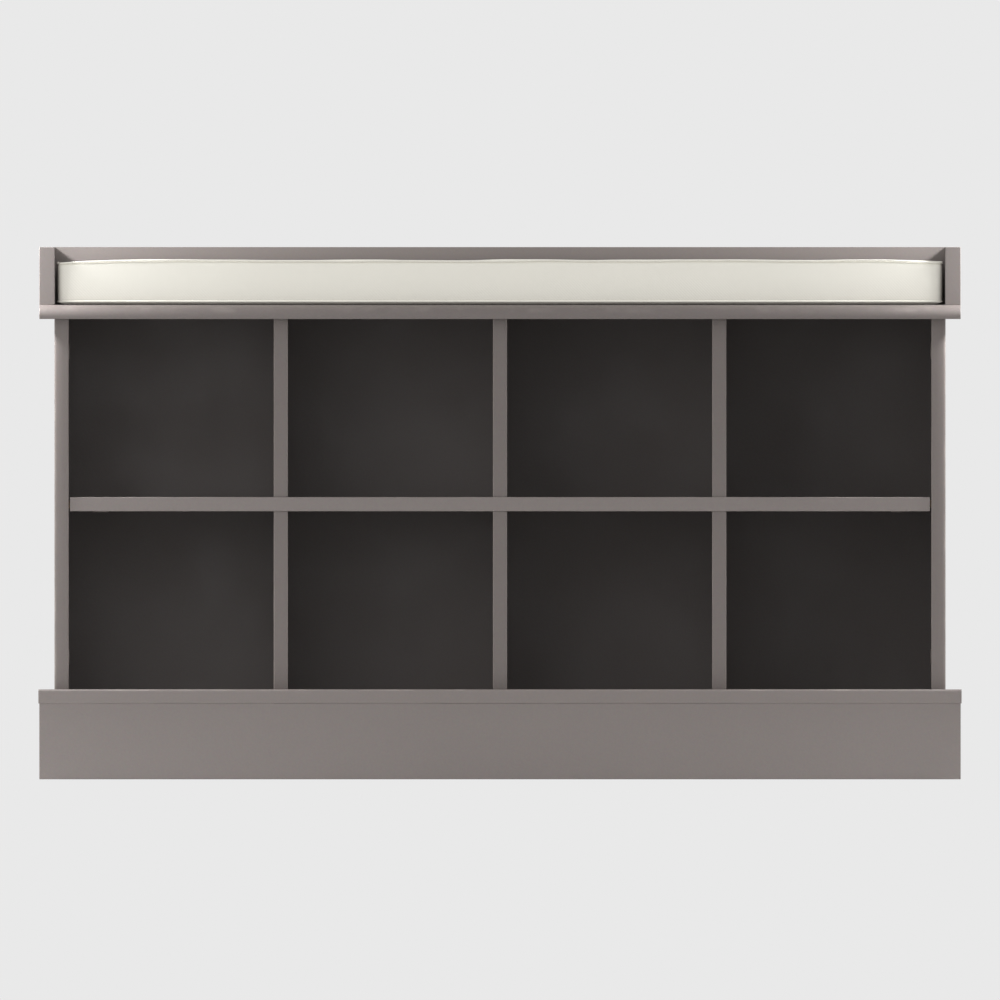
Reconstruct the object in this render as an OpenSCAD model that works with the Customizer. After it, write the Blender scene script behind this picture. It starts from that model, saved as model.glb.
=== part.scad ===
// A storage bench with eight cubbies on a closed plinth, two low arms, a back rail and a loose seat
// cushion. Millimetres, +Z up. The origin is on the floor under the middle of the bench, the front
// faces -Y, and the bench is the same on both sides of X = 0 apart from the zip's slider.

/* [Boards] */
// Thickness of every board except the arms and the back panel
board_t = 15; // [15:0.5:19]
// Thickness of each arm
arm_t = 16.5; // [15:0.5:20]
// Thickness of the back panel
back_t = 3; // [2.5:0.5:4]
// Radius that eases the boards' edges
arris_r = 1; // [0.5:0.1:1.5]

/* [Cubbies] */
// Clear width of one cubby
cubby_w = 216.5; // [200:0.5:300]
// Clear height of one cubby
cubby_h = 188; // [160:1:300]
// Depth of the side panels
panel_d = 350; // [300:1:400]
// Gap at each end of the middle shelf
shelf_gap = 1.3; // [0.5:0.1:2]
// How far the shelf's front edge sits behind the side panels'
shelf_setback = 2; // [1:0.5:10]
// How far the dividers' front edges sit behind the side panels'
divider_setback = 4; // [2:0.5:15]
// Radius of the side panels' outer front edges
panel_r = 3; // [1:0.5:5]

/* [Seat] */
// How far the seat board runs past each side panel
seat_side = 16; // [15:0.5:25]
// How far the seat board runs past the side panels' front edges
seat_nose = 16; // [12:0.5:25]
// Radius of the seat board's upper front edge
nose_r = 12; // [6:0.5:13]
// Height of the arms and the back rail above the seat board
arm_h = 61; // [50:1:120]
// How far the arms' front edges sit behind the seat board's
arm_setback = 13; // [13:0.5:25]
// How far the back rail's rear face sits in front of the seat board's rear edge
rail_setback = 1; // [1:0.5:5]

/* [Plinth] */
// Height of the plinth
plinth_h = 80; // [60:1:120]
// How far the bottom board stands proud of the plinth
base_lip = 1; // [0.5:0.5:3]
// Radius of the bottom board's upper front edge
base_r = 2.5; // [1:0.5:4]

/* [Cushion] */
// Height of the cushion
cushion_h = 47.5; // [30:0.5:48]
// Gap between the cushion and each arm
cushion_gap = 2; // [2:0.5:6]
// How far the cushion's front sits behind the seat board's
cushion_setback = 16; // [8:0.5:24]
// Radius of the cushion's upright corners
cushion_r = 8; // [4:0.5:12]
// Length of the zip in the cushion's back
zip_l = 780; // [500:10:800]

/* [Hidden] */
$fn = 48;

// Across the bench
columns = 4;
pitch = cubby_w + board_t;
inner_w = columns * cubby_w + (columns - 1) * board_t;
panel_x = inner_w / 2 + board_t / 2;
seat_w = inner_w + 2 * board_t + 2 * seat_side;
base_w = seat_w + 2 * base_lip;
arm_in = seat_w / 2 - arm_t;
arm_x = seat_w / 2 - arm_t / 2;

// Up the bench
base_z = plinth_h;
lower_z = base_z + board_t;
shelf_z = lower_z + cubby_h;
upper_z = shelf_z + board_t;
seat_z = upper_z + cubby_h;
seat_top = seat_z + board_t;

// From front to back: the seat board's depth is the whole depth
nail_head_t = 0.8;
back_allowance = back_t + 1;
seat_d = seat_nose + panel_d + back_allowance;
front_y = -seat_d / 2;
back_y = seat_d / 2;
panel_front = front_y + seat_nose;
panel_back = panel_front + panel_d;
shelf_front = panel_front + shelf_setback;
divider_front = panel_front + divider_setback;
rail_back = back_y - rail_setback;
rail_front = rail_back - board_t;
rail_y = rail_back - board_t / 2;
plinth_front_y = front_y + base_lip;

// The plinth, and the inner faces of its boards
plinth_w = seat_w;
plinth_side_in = plinth_w / 2 - board_t;
plinth_back_in = panel_back - board_t;
plinth_front_in = plinth_front_y + board_t;
plinth_dowel_zs = [plinth_h * 0.3, plinth_h * 0.7];

// Fittings
cam_r = 7.4;
cam_pocket_r = 7.5;
cam_depth = 12;
cam_reach = 34;
bolt_bore_r = 4;
bolt_thread_r = 3;
bolt_thread_l = 11;
cap_r = 8.5;
cap_t = 0.9;
dowel_r = 3.95;
dowel_bore_r = 4;
dowel_edge_l = 20;
dowel_face_l = 10;
screw_r = 1.75;
screw_head_r = 4;
screw_head_h = 2.4;
screw_sink = 0.3;
nail_r = 0.8;
nail_l = 16;
fit_gap = 0.1;
block_w = 22;
bracket_leg = 25;
bracket_w = 16;
bracket_t = 2;
bracket_screw_l = 12;

// Where the fittings sit, from front to back and across the bench
cam_ys = [panel_front + 74, panel_back - 72];
panel_dowel_ys = [panel_front + 30, panel_back - 27];
divider_dowel_ys = [panel_front + 50, panel_back - 50];
arm_dowel_ys = [front_y + 70, back_y - 125];
arm_screw_ys = [front_y + 35, 0, back_y - 60];
divider_xs = [-pitch, 0, pitch];
bay_xs = [-1.5 * pitch, -0.5 * pitch, 0.5 * pitch, 1.5 * pitch];
rail_cam_z = seat_top + 38;
rail_end_dowel_z = seat_top + 16;

// Cushion
lift_gap = 0.3;
cover_t = 1.5;
cushion_z = seat_top + lift_gap;
cushion_w = 2 * (arm_in - cushion_gap);
cushion_front = front_y + cushion_setback;
cushion_back = rail_front - 8;
cushion_d = cushion_back - cushion_front;
zip_z = cushion_z + cushion_h / 2;
zip_tape_w = 26;
zip_tape_t = 0.8;
zip_coil_w = 5;
zip_coil_t = 1.5;
zip_slot_w = 8;
slider_l = 12;
slider_w = 9;
slider_gap = 0.4;

paint = "#857b78";
beech = "#d8b88a";
steel = "#b9bcc0";
zinc = "#a4a6a8";
plastic = "#7d7370";
ivory = "#e6e2d8";
foam = "#efe2b4";

// ---- Helpers ----

// Puts its children on the right and their mirror image on the left
module both_sides() {
    children();
    mirror([1, 0, 0]) children();
}

// A board's cross-section, with a radius for each corner from the lower left one anticlockwise
module eased_section(size, radii) {
    corners = [[0, 0], [size.x, 0], size, [0, size.y]];
    difference() {
        square(size);
        for (i = [0:3])
            translate(corners[i])
                rotate(90 * i)
                    difference() {
                        translate([-1, -1]) square(radii[i] + 1);
                        translate([radii[i], radii[i]]) circle(r = radii[i]);
                    }
    }
}

// A board along X, drawn as its section in Y and Z
module long_board(w, y, z, size, radii) {
    translate([-w / 2, y, z])
        rotate([90, 0, 90])
            linear_extrude(w) eased_section(size, radii);
}

// An upright board, drawn as its section in X and Y
module upright_board(x, y, z, h, size, radii) {
    translate([x, y, z])
        linear_extrude(h) eased_section(size, radii);
}

// ---- Fittings, each drawn at a joint: Z = 0 is the plane between the two boards, the board that ----
// ---- is entered through its edge lies below it, and the cams open towards +X                   ----

module cam() {
    difference() {
        translate([board_t / 2 - cam_depth + fit_gap, 0, -cam_reach])
            rotate([0, 90, 0]) cylinder(r = cam_r, h = cam_depth - 2 * fit_gap);
        translate([-cam_depth, -bolt_bore_r, -cam_reach - bolt_bore_r])
            cube([cam_depth + bolt_bore_r, 2 * bolt_bore_r, cam_reach]);
        translate([board_t / 2 - 2, 0, -cam_reach])
            rotate([0, 90, 0]) cylinder(r = 2.8, h = 3);
    }
}

module cam_bolt() {
    cylinder(r = bolt_thread_r - fit_gap, h = bolt_thread_l);
    translate([0, 0, -cam_reach + 3]) cylinder(r = 2.5, h = cam_reach - 3);
    translate([0, 0, -cam_reach]) cylinder(r = 1.8, h = 3);
    translate([0, 0, -cam_reach - 3]) cylinder(r = 3.3, h = 3);
}

module cam_cap() {
    translate([board_t / 2, 0, -cam_reach])
        rotate([0, 90, 0]) {
            cylinder(r1 = cap_r, r2 = cap_r - 0.5, h = cap_t);
            translate([0, 0, -1.2]) cylinder(r = 2.6, h = 1.2);
        }
}

module cam_holes() {
    cylinder(r = bolt_thread_r, h = bolt_thread_l + 0.5);
    translate([0, 0, -cam_reach]) cylinder(r = bolt_bore_r, h = cam_reach + 0.01);
    translate([board_t / 2 - cam_depth, 0, -cam_reach])
        rotate([0, 90, 0]) cylinder(r = cam_pocket_r, h = cam_depth + 1);
}

// A dowel that goes down by below and up by above, with chamfered ends
module dowel(below = dowel_edge_l, above = dowel_face_l) {
    chamfer = 1;
    translate([0, 0, -below]) {
        cylinder(r1 = dowel_r - chamfer, r2 = dowel_r, h = chamfer);
        translate([0, 0, chamfer]) cylinder(r = dowel_r, h = below + above - 2 * chamfer);
        translate([0, 0, below + above - chamfer])
            cylinder(r1 = dowel_r, r2 = dowel_r - chamfer, h = chamfer);
    }
}

module dowel_hole(below = dowel_edge_l, above = dowel_face_l) {
    translate([0, 0, -below - 1]) cylinder(r = dowel_bore_r, h = below + above + 2);
}

// A countersunk screw that enters a board at Z = -through, with its head sunk just below the face,
// and bites by bite above Z = 0
module screw(through, bite) {
    tip = 4;
    head_z = screw_sink - through;
    difference() {
        union() {
            translate([0, 0, head_z]) cylinder(r1 = screw_head_r, r2 = screw_r, h = screw_head_h);
            translate([0, 0, head_z]) cylinder(r = screw_r, h = bite - tip - head_z);
            translate([0, 0, bite - tip]) cylinder(r1 = screw_r, r2 = 0.3, h = tip);
        }
        for (turn = [0, 90])
            translate([0, 0, head_z])
                rotate(turn) cube([4, 0.9, 3], center = true);
    }
}

module screw_hole(through, bite) {
    head_z = screw_sink - through;
    head_bore_r = screw_head_r + fit_gap;
    bore_r = screw_r + fit_gap;
    translate([0, 0, -through - 1]) cylinder(r = head_bore_r, h = screw_sink + 1);
    translate([0, 0, head_z - 0.01])
        cylinder(r1 = head_bore_r, r2 = bore_r, h = screw_head_h + fit_gap);
    translate([0, 0, head_z]) cylinder(r = bore_r, h = bite + 1 - head_z);
}

// An angle bracket in the corner at the origin: one leg along +X under a board, one leg down -Z
module bracket() {
    hole_at = bracket_leg * 0.6;
    difference() {
        union() {
            translate([0, -bracket_w / 2, -bracket_t]) cube([bracket_leg, bracket_w, bracket_t]);
            translate([0, -bracket_w / 2, -bracket_leg]) cube([bracket_t, bracket_w, bracket_leg]);
        }
        translate([hole_at, 0, -bracket_t - 1]) cylinder(r = screw_r + 0.3, h = bracket_t + 2);
        translate([-1, 0, -hole_at])
            rotate([0, 90, 0]) cylinder(r = screw_r + 0.3, h = bracket_t + 2);
    }
}

// A pan-head screw that points up +Z, with the underside of its head at Z = 0
module bracket_screw() {
    translate([0, 0, -1.8]) cylinder(r1 = 2.6, r2 = 3.4, h = 1.8);
    cylinder(r = screw_r, h = bracket_screw_l - 3);
    translate([0, 0, bracket_screw_l - 3]) cylinder(r1 = screw_r, r2 = 0.3, h = 3);
}

module bracket_screws_at_one() {
    hole_at = bracket_leg * 0.6;
    translate([hole_at, 0, -bracket_t]) bracket_screw();
    translate([bracket_t, 0, -hole_at]) rotate([0, -90, 0]) bracket_screw();
}

module bracket_screw_holes() {
    hole_at = bracket_leg * 0.6;
    translate([hole_at, 0, -bracket_t]) cylinder(r = screw_r + fit_gap, h = bracket_screw_l + 0.5);
    translate([bracket_t, 0, -hole_at])
        rotate([0, -90, 0]) cylinder(r = screw_r + fit_gap, h = bracket_screw_l + 0.5);
}

// A nail that points to the front, with its head on the back panel's rear face
module nail() {
    translate([0, panel_back + back_t, 0])
        rotate([90, 0, 0]) {
            cylinder(r = nail_r, h = nail_l);
            translate([0, 0, -nail_head_t]) cylinder(r = 2, h = nail_head_t);
        }
}

module nail_hole() {
    translate([0, back_y + 1, 0])
        rotate([90, 0, 0]) cylinder(r = nail_r + 0.05, h = nail_l + back_y - panel_back);
}

// ---- Where each kind of fitting goes ----

module at_panel_cams() {
    both_sides()
        for (y = cam_ys) {
            translate([panel_x, y, seat_z]) rotate(180) children();
            translate([panel_x, y, lower_z]) rotate(180) mirror([0, 0, 1]) children();
        }
}

module at_shelf_cams() {
    both_sides()
        for (y = cam_ys)
            translate([inner_w / 2, y, shelf_z + board_t / 2]) rotate([0, 90, 0]) children();
}

module at_rail_cams() {
    both_sides()
        translate([arm_in, rail_y, rail_cam_z]) rotate([90, 0, 0]) rotate([0, 90, 0]) children();
}

module at_panel_dowels() {
    both_sides()
        for (y = panel_dowel_ys) {
            translate([panel_x, y, seat_z]) children();
            translate([panel_x, y, lower_z]) mirror([0, 0, 1]) children();
        }
}

module at_shelf_dowels() {
    both_sides()
        for (y = panel_dowel_ys)
            translate([inner_w / 2, y, shelf_z + board_t / 2]) rotate([0, 90, 0]) children();
}

module at_divider_dowels() {
    for (x = divider_xs, y = divider_dowel_ys) {
        translate([x, y, seat_z]) children();
        translate([x, y, lower_z]) mirror([0, 0, 1]) children();
    }
}

module at_divider_shelf_dowels() {
    for (x = divider_xs, y = divider_dowel_ys)
        translate([x, y, shelf_z]) children();
}

module at_arm_dowels() {
    both_sides()
        for (y = arm_dowel_ys)
            translate([arm_x, y, seat_top]) mirror([0, 0, 1]) children();
}

module at_arm_screws() {
    both_sides()
        for (y = arm_screw_ys)
            translate([arm_x, y, seat_top]) children();
}

module at_rail_seat_dowels() {
    for (x = divider_xs)
        translate([x, rail_y, seat_top]) mirror([0, 0, 1]) children();
}

module at_rail_end_dowels() {
    both_sides()
        translate([arm_in, rail_y, rail_end_dowel_z]) rotate([0, 90, 0]) children();
}

module at_rail_screws() {
    for (x = bay_xs)
        translate([x, rail_y, seat_top]) children();
}

// The joints between the plinth's front and back boards and the boards that run between them
module at_plinth_dowels() {
    for (x = [-plinth_w / 2 + board_t / 2, 0, plinth_w / 2 - board_t / 2], z = plinth_dowel_zs) {
        translate([x, plinth_front_in, z]) rotate([90, 0, 0]) children();
        translate([x, plinth_back_in, z]) rotate([-90, 0, 0]) children();
    }
}

// The plinth's inside corners, each with X and Y pointing into the plinth
module at_plinth_corners() {
    both_sides() {
        translate([plinth_side_in, plinth_front_in, 0]) mirror([1, 0, 0]) children();
        translate([plinth_side_in, plinth_back_in, 0]) rotate(180) children();
    }
}

module at_block_screws() {
    at_plinth_corners() {
        for (z = [plinth_h * 0.4, plinth_h * 0.78])
            translate([block_w / 2, 0, z]) rotate([90, 0, 0]) children();
        translate([0, block_w / 2, plinth_h * 0.58]) rotate([0, -90, 0]) children();
    }
}

module at_brackets() {
    for (x = [-pitch, pitch]) {
        translate([x, plinth_front_in, base_z]) rotate(90) children();
        translate([x, plinth_back_in, base_z]) rotate(-90) children();
    }
    both_sides()
        translate([plinth_side_in, 0, base_z]) rotate(180) children();
}

module at_nails() {
    for (z = [lower_z, upper_z], part = [0.3, 0.7])
        for (x = [-panel_x, -pitch, 0, pitch, panel_x])
            translate([x, 0, z + part * cubby_h]) children();
    for (x = bay_xs, z = [base_z + board_t / 2, shelf_z + board_t / 2])
        translate([x, 0, z]) children();
}

// ---- Boards ----

module seat_board() {
    color(paint)
        difference() {
            long_board(seat_w, front_y, seat_z, [seat_d, board_t], [arris_r, arris_r, arris_r, nose_r]);
            at_panel_cams() cam_holes();
            at_panel_dowels() dowel_hole();
            at_divider_dowels() dowel_hole();
            at_arm_dowels() dowel_hole();
            at_rail_seat_dowels() dowel_hole();
            at_arm_screws() screw_hole(board_t, 28);
            at_rail_screws() screw_hole(board_t, 28);
        }
}

module arm_board() {
    difference() {
        upright_board(
            arm_in, front_y + arm_setback, seat_top, arm_h,
            [arm_t, rail_back - front_y - arm_setback], [arris_r, arris_r, arris_r, arris_r]
        );
        at_arm_dowels() dowel_hole();
        at_arm_screws() screw_hole(board_t, 28);
        at_rail_cams() cam_holes();
        at_rail_end_dowels() dowel_hole();
    }
}

module arm_right() {
    color(paint) arm_board();
}

module arm_left() {
    color(paint) mirror([1, 0, 0]) arm_board();
}

module back_rail() {
    color(paint)
        difference() {
            long_board(
                2 * arm_in, rail_front, seat_top, [board_t, arm_h],
                [0.2, 0.2, arris_r, arris_r]
            );
            at_rail_cams() cam_holes();
            at_rail_end_dowels() dowel_hole();
            at_rail_seat_dowels() dowel_hole();
            at_rail_screws() screw_hole(board_t, 28);
        }
}

module side_panel() {
    difference() {
        upright_board(
            inner_w / 2, panel_front, lower_z, seat_z - lower_z,
            [board_t, panel_d], [arris_r, panel_r, arris_r, arris_r]
        );
        at_panel_cams() cam_holes();
        at_panel_dowels() dowel_hole();
        at_shelf_cams() cam_holes();
        at_shelf_dowels() dowel_hole();
        at_nails() nail_hole();
    }
}

module side_panel_right() {
    color(paint) side_panel();
}

module side_panel_left() {
    color(paint) mirror([1, 0, 0]) side_panel();
}

module middle_shelf() {
    depth = panel_back - shelf_front;
    color(paint)
        difference() {
            long_board(
                inner_w - 2 * shelf_gap, shelf_front, shelf_z, [depth, board_t],
                [arris_r, arris_r, arris_r, arris_r]
            );
            at_shelf_cams() cam_holes();
            at_shelf_dowels() dowel_hole();
            at_divider_shelf_dowels() dowel_hole(dowel_edge_l, board_t + dowel_edge_l);
            at_nails() nail_hole();
        }
}

module divider(x, z) {
    color(paint)
        difference() {
            upright_board(
                x - board_t / 2, divider_front, z, cubby_h,
                [board_t, panel_back - divider_front], [arris_r, arris_r, arris_r, arris_r]
            );
            at_divider_dowels() dowel_hole();
            at_divider_shelf_dowels() dowel_hole(dowel_edge_l, board_t + dowel_edge_l);
            at_nails() nail_hole();
        }
}

module bottom_board() {
    depth = panel_back - front_y;
    color(paint)
        difference() {
            long_board(
                base_w, front_y, base_z, [depth, board_t],
                [arris_r, arris_r, arris_r, base_r]
            );
            at_panel_cams() cam_holes();
            at_panel_dowels() dowel_hole();
            at_divider_dowels() dowel_hole();
            at_brackets() bracket_screw_holes();
            at_nails() nail_hole();
        }
}

module back_panel() {
    lap = board_t / 2 + 4;
    color(paint)
        difference() {
            translate([-panel_x - 4, panel_back, base_z + board_t - lap])
                cube([2 * panel_x + 8, back_t, seat_z - lower_z + lap]);
            at_nails() nail_hole();
        }
}

module plinth_face(y) {
    difference() {
        long_board(
            plinth_w, y, 0, [board_t, plinth_h],
            [arris_r, arris_r, 0.2, 0.2]
        );
        at_plinth_dowels() dowel_hole();
        at_block_screws() screw_hole(block_w, 9);
        at_brackets() bracket_screw_holes();
    }
}

module plinth_front() {
    color(paint) plinth_face(plinth_front_y);
}

module plinth_back() {
    color(paint) plinth_face(plinth_back_in);
}

// A plinth board that runs from front to back, with its lower edge at z
module plinth_rib(x, z) {
    difference() {
        translate([x - board_t / 2, plinth_front_in, z])
            cube([board_t, plinth_back_in - plinth_front_in, plinth_h - z]);
        at_plinth_dowels() dowel_hole();
        at_block_screws() screw_hole(block_w, 9);
        at_brackets() bracket_screw_holes();
    }
}

module plinth_right() {
    color(paint) plinth_rib(plinth_w / 2 - board_t / 2, 0);
}

module plinth_left() {
    color(paint) plinth_rib(-plinth_w / 2 + board_t / 2, 0);
}

module plinth_brace() {
    color(paint) plinth_rib(0, 10);
}

module plinth_corner_blocks() {
    color(beech)
        difference() {
            at_plinth_corners()
                translate([0, 0, plinth_h * 0.2]) cube([block_w, block_w, plinth_h * 0.75]);
            at_block_screws() screw_hole(block_w, 9);
        }
}

module plinth_brackets() {
    color(steel) at_brackets() bracket();
}

// ---- Fittings ----

module panel_cams() {
    color(zinc) at_panel_cams() cam();
}

module panel_cam_bolts() {
    color(steel) at_panel_cams() cam_bolt();
}

module shelf_cams() {
    color(zinc) at_shelf_cams() cam();
}

module shelf_cam_bolts() {
    color(steel) at_shelf_cams() cam_bolt();
}

module rail_cams() {
    color(zinc) at_rail_cams() cam();
}

module rail_cam_bolts() {
    color(steel) at_rail_cams() cam_bolt();
}

module cam_caps() {
    color(plastic) {
        at_panel_cams() cam_cap();
        at_shelf_cams() cam_cap();
        at_rail_cams() cam_cap();
    }
}

module panel_dowels() {
    color(beech) at_panel_dowels() dowel();
}

module shelf_dowels() {
    color(beech) at_shelf_dowels() dowel();
}

module divider_dowels() {
    color(beech) at_divider_dowels() dowel();
}

module divider_shelf_dowels() {
    color(beech) at_divider_shelf_dowels() dowel(dowel_edge_l, board_t + dowel_edge_l);
}

module arm_dowels() {
    color(beech) at_arm_dowels() dowel();
}

module rail_dowels() {
    color(beech) {
        at_rail_seat_dowels() dowel();
        at_rail_end_dowels() dowel();
    }
}

module plinth_dowels() {
    color(beech) at_plinth_dowels() dowel();
}

module arm_screws() {
    color(steel) at_arm_screws() screw(board_t, 28);
}

module rail_screws() {
    color(steel) at_rail_screws() screw(board_t, 28);
}

module corner_block_screws() {
    color(steel) at_block_screws() screw(block_w, 9);
}

module bracket_screws() {
    color(steel) at_brackets() bracket_screws_at_one();
}

module back_panel_nails() {
    color(steel) at_nails() nail();
}

// ---- Cushion ----

// The cushion's outer shape, made smaller by inset on every side
module cushion_block(inset) {
    r = cushion_r - inset;
    translate([-cushion_w / 2 + inset, cushion_front + inset, cushion_z + inset])
        linear_extrude(cushion_h - 2 * inset)
            eased_section([cushion_w - 2 * inset, cushion_d - 2 * inset], [r, r, r, r]);
}

module cushion_cover() {
    color(ivory)
        difference() {
            cushion_block(0);
            cushion_block(cover_t);
            translate([-zip_l / 2, cushion_back - cover_t - 1, zip_z - zip_slot_w / 2])
                cube([zip_l, cover_t + 2, zip_slot_w]);
        }
}

module cushion_foam() {
    color(foam) cushion_block(cover_t + 0.5);
}

module cushion_zip() {
    color(ivory)
        translate([0, cushion_back, zip_z]) {
            translate([-zip_l / 2 - 10, 0, -zip_tape_w / 2])
                cube([zip_l + 20, zip_tape_t, zip_tape_w]);
            translate([-zip_l / 2, zip_tape_t, -zip_coil_w / 2])
                cube([zip_l, zip_coil_t, zip_coil_w]);
        }
}

module zip_slider() {
    roof = 1.4;
    channel_t = zip_coil_t + slider_gap;
    channel_w = zip_coil_w + 2 * slider_gap;
    color(zinc)
        translate([-zip_l / 2 + slider_l, cushion_back + zip_tape_t, zip_z])
            difference() {
                union() {
                    translate([-slider_l / 2, slider_gap, -slider_w / 2])
                        cube([slider_l, zip_coil_t + roof, slider_w]);
                    translate([-slider_l / 4, slider_gap + zip_coil_t + roof, -1])
                        cube([slider_l / 2, 1, 2]);
                }
                translate([-slider_l, 0, -channel_w / 2])
                    cube([2 * slider_l, channel_t, channel_w]);
            }
}

seat_board();
arm_left();
arm_right();
back_rail();
side_panel_left();
side_panel_right();
middle_shelf();
divider(-pitch, upper_z);  // divider_upper_left
divider(0, upper_z);  // divider_upper_centre
divider(pitch, upper_z);  // divider_upper_right
divider(-pitch, lower_z);  // divider_lower_left
divider(0, lower_z);  // divider_lower_centre
divider(pitch, lower_z);  // divider_lower_right
bottom_board();
back_panel();
plinth_front();
plinth_back();
plinth_left();
plinth_right();
plinth_brace();
plinth_corner_blocks();
plinth_brackets();
panel_cams();
panel_cam_bolts();
shelf_cams();
shelf_cam_bolts();
rail_cams();
rail_cam_bolts();
cam_caps();
panel_dowels();
shelf_dowels();
divider_dowels();
divider_shelf_dowels();
arm_dowels();
rail_dowels();
plinth_dowels();
arm_screws();
rail_screws();
corner_block_screws();
bracket_screws();
back_panel_nails();
cushion_cover();
cushion_foam();
cushion_zip();
zip_slider();
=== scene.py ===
# %% [markdown]
# # A cubby bench with a loose cushion
#
# This lesson builds the looks of a low storage bench: painted boards, eight open cubbies, a closed
# plinth and a long seat cushion with a zip in its back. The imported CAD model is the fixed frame:
# every piece here takes its size and place from it, in metres, and moves with one of its bodies.

import math

import bpy
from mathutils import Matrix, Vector, noise


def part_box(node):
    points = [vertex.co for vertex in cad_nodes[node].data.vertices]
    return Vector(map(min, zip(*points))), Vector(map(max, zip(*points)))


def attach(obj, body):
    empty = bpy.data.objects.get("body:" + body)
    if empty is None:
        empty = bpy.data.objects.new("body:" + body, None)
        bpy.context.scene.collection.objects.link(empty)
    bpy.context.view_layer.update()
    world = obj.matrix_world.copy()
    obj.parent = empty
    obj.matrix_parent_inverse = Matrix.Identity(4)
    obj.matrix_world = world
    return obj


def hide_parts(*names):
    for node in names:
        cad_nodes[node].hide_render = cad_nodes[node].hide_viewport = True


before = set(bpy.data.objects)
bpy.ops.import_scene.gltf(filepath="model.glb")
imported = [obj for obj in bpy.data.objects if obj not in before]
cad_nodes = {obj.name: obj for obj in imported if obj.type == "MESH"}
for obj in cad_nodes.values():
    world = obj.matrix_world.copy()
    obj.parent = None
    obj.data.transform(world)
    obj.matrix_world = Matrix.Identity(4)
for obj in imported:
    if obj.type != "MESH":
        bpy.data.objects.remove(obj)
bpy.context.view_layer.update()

# %% [markdown]
# ## Camera
#
# The bench is seen square from the front and its upright lines don't converge, so the camera is
# orthographic. Such a camera has a width in metres instead of a focal length. The view is a little
# wider than the bench, and its centre sits a little above the bench's own middle.

# %% Camera
view_width = 1.056
view_height_of_centre = 0.2949
bpy.ops.object.camera_add(
    location=(0, -3, view_height_of_centre), rotation=(math.radians(90), 0, 0)
)
camera = bpy.context.object
camera.name = "studio_camera"
camera.data.type = "ORTHO"
camera.data.ortho_scale = view_width
bpy.context.scene.camera = camera
print("camera: orthographic,", view_width, "m wide")

# %% [markdown]
# ## Colours and nodes
#
# A colour picker gives sRGB hex values, and a shader wants linear ones, so one function converts
# them. A second small function adds a node, sets its properties and fills its sockets: a socket is
# linked if the value is another node's output, and set if it is a plain number or colour. Object
# coordinates are in metres, so a pattern's scale is worked out from the width of its features.


# %% Helpers for materials
def paint_chip(code):
    """The linear colour, with alpha, of an sRGB hex value such as "c0ffee"."""
    parts = [int(code[i : i + 2], 16) / 255 for i in (0, 2, 4)]
    return [p / 12.92 if p <= 0.04045 else ((p + 0.055) / 1.055) ** 2.4 for p in parts] + [1]


def add(material, kind, sockets, **settings):
    """Adds a shader node, with its settings, and fills or links its input sockets."""
    tree = material.node_tree
    node = tree.nodes.new(kind)
    for name, value in settings.items():
        setattr(node, name, value)
    for socket, value in sockets.items():
        if isinstance(value, bpy.types.NodeSocket):
            tree.links.new(value, node.inputs[socket])
        else:
            node.inputs[socket].default_value = value
    return node


def new_finish(name):
    """An empty material, and the Object coordinates that its patterns are drawn on."""
    material = bpy.data.materials.new(name)
    material.use_nodes = True
    material.node_tree.nodes.clear()
    return material, add(material, "ShaderNodeTexCoord", {}).outputs["Object"]


def close_finish(material, shader):
    add(material, "ShaderNodeOutputMaterial", {"Surface": shader.outputs[0]})
    return material


def per(millimetres):
    """The scale of a pattern whose features are that many millimetres wide."""
    return 1000 / millimetres


print("helpers: paint_chip, add, new_finish, close_finish, per")

# %% [markdown]
# ## Studio
#
# The real setting is a plain pale studio that is brightest in front of the bench. A world of soft
# light fills the shadows, and the floor is a large plane whose shade matches the background, so that
# no horizon shows. Two small soft lamps stand close to the bench's ends, a little above the seat:
# they give the ends of the rounded seat edge and of the back rail their glow, which fades towards
# the middle.

# %% World and floor
scene = bpy.context.scene
scene.view_settings.view_transform = "Standard"
front_light = 0.86
side_light = 0.54
world = bpy.data.worlds.new("studio_air")
world.use_nodes = True
scene.world = world
world.node_tree.nodes.clear()
direction = add(world, "ShaderNodeTexCoord", {})
heading = add(world, "ShaderNodeSeparateXYZ", {0: direction.outputs["Generated"]})
air = add(
    world, "ShaderNodeMapRange",
    {
        "Value": heading.outputs["Y"], "From Min": -1.0, "From Max": 0.2,
        "To Min": front_light, "To Max": side_light,
    },
)
lighting = add(world, "ShaderNodeBackground", {"Color": (1, 1, 1, 1), "Strength": air.outputs[0]})
# What the camera sees past the floor's edge: the wall above the horizon, the floor's shade below it
below = add(world, "ShaderNodeMath", {0: heading.outputs["Z"], 1: -0.01}, operation="LESS_THAN")
backdrop = add(
    world, "ShaderNodeMix",
    {0: below.outputs[0], 6: paint_chip("e9e9e9"), 7: paint_chip("cfcfce")}, data_type="RGBA",
)
seen = add(world, "ShaderNodeBackground", {"Color": backdrop.outputs[2], "Strength": 1.0})
rays = add(world, "ShaderNodeLightPath", {})
either = add(
    world, "ShaderNodeMixShader",
    {0: rays.outputs["Is Camera Ray"], 1: lighting.outputs[0], 2: seen.outputs[0]},
)
add(world, "ShaderNodeOutputWorld", {"Surface": either.outputs[0]})

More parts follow.
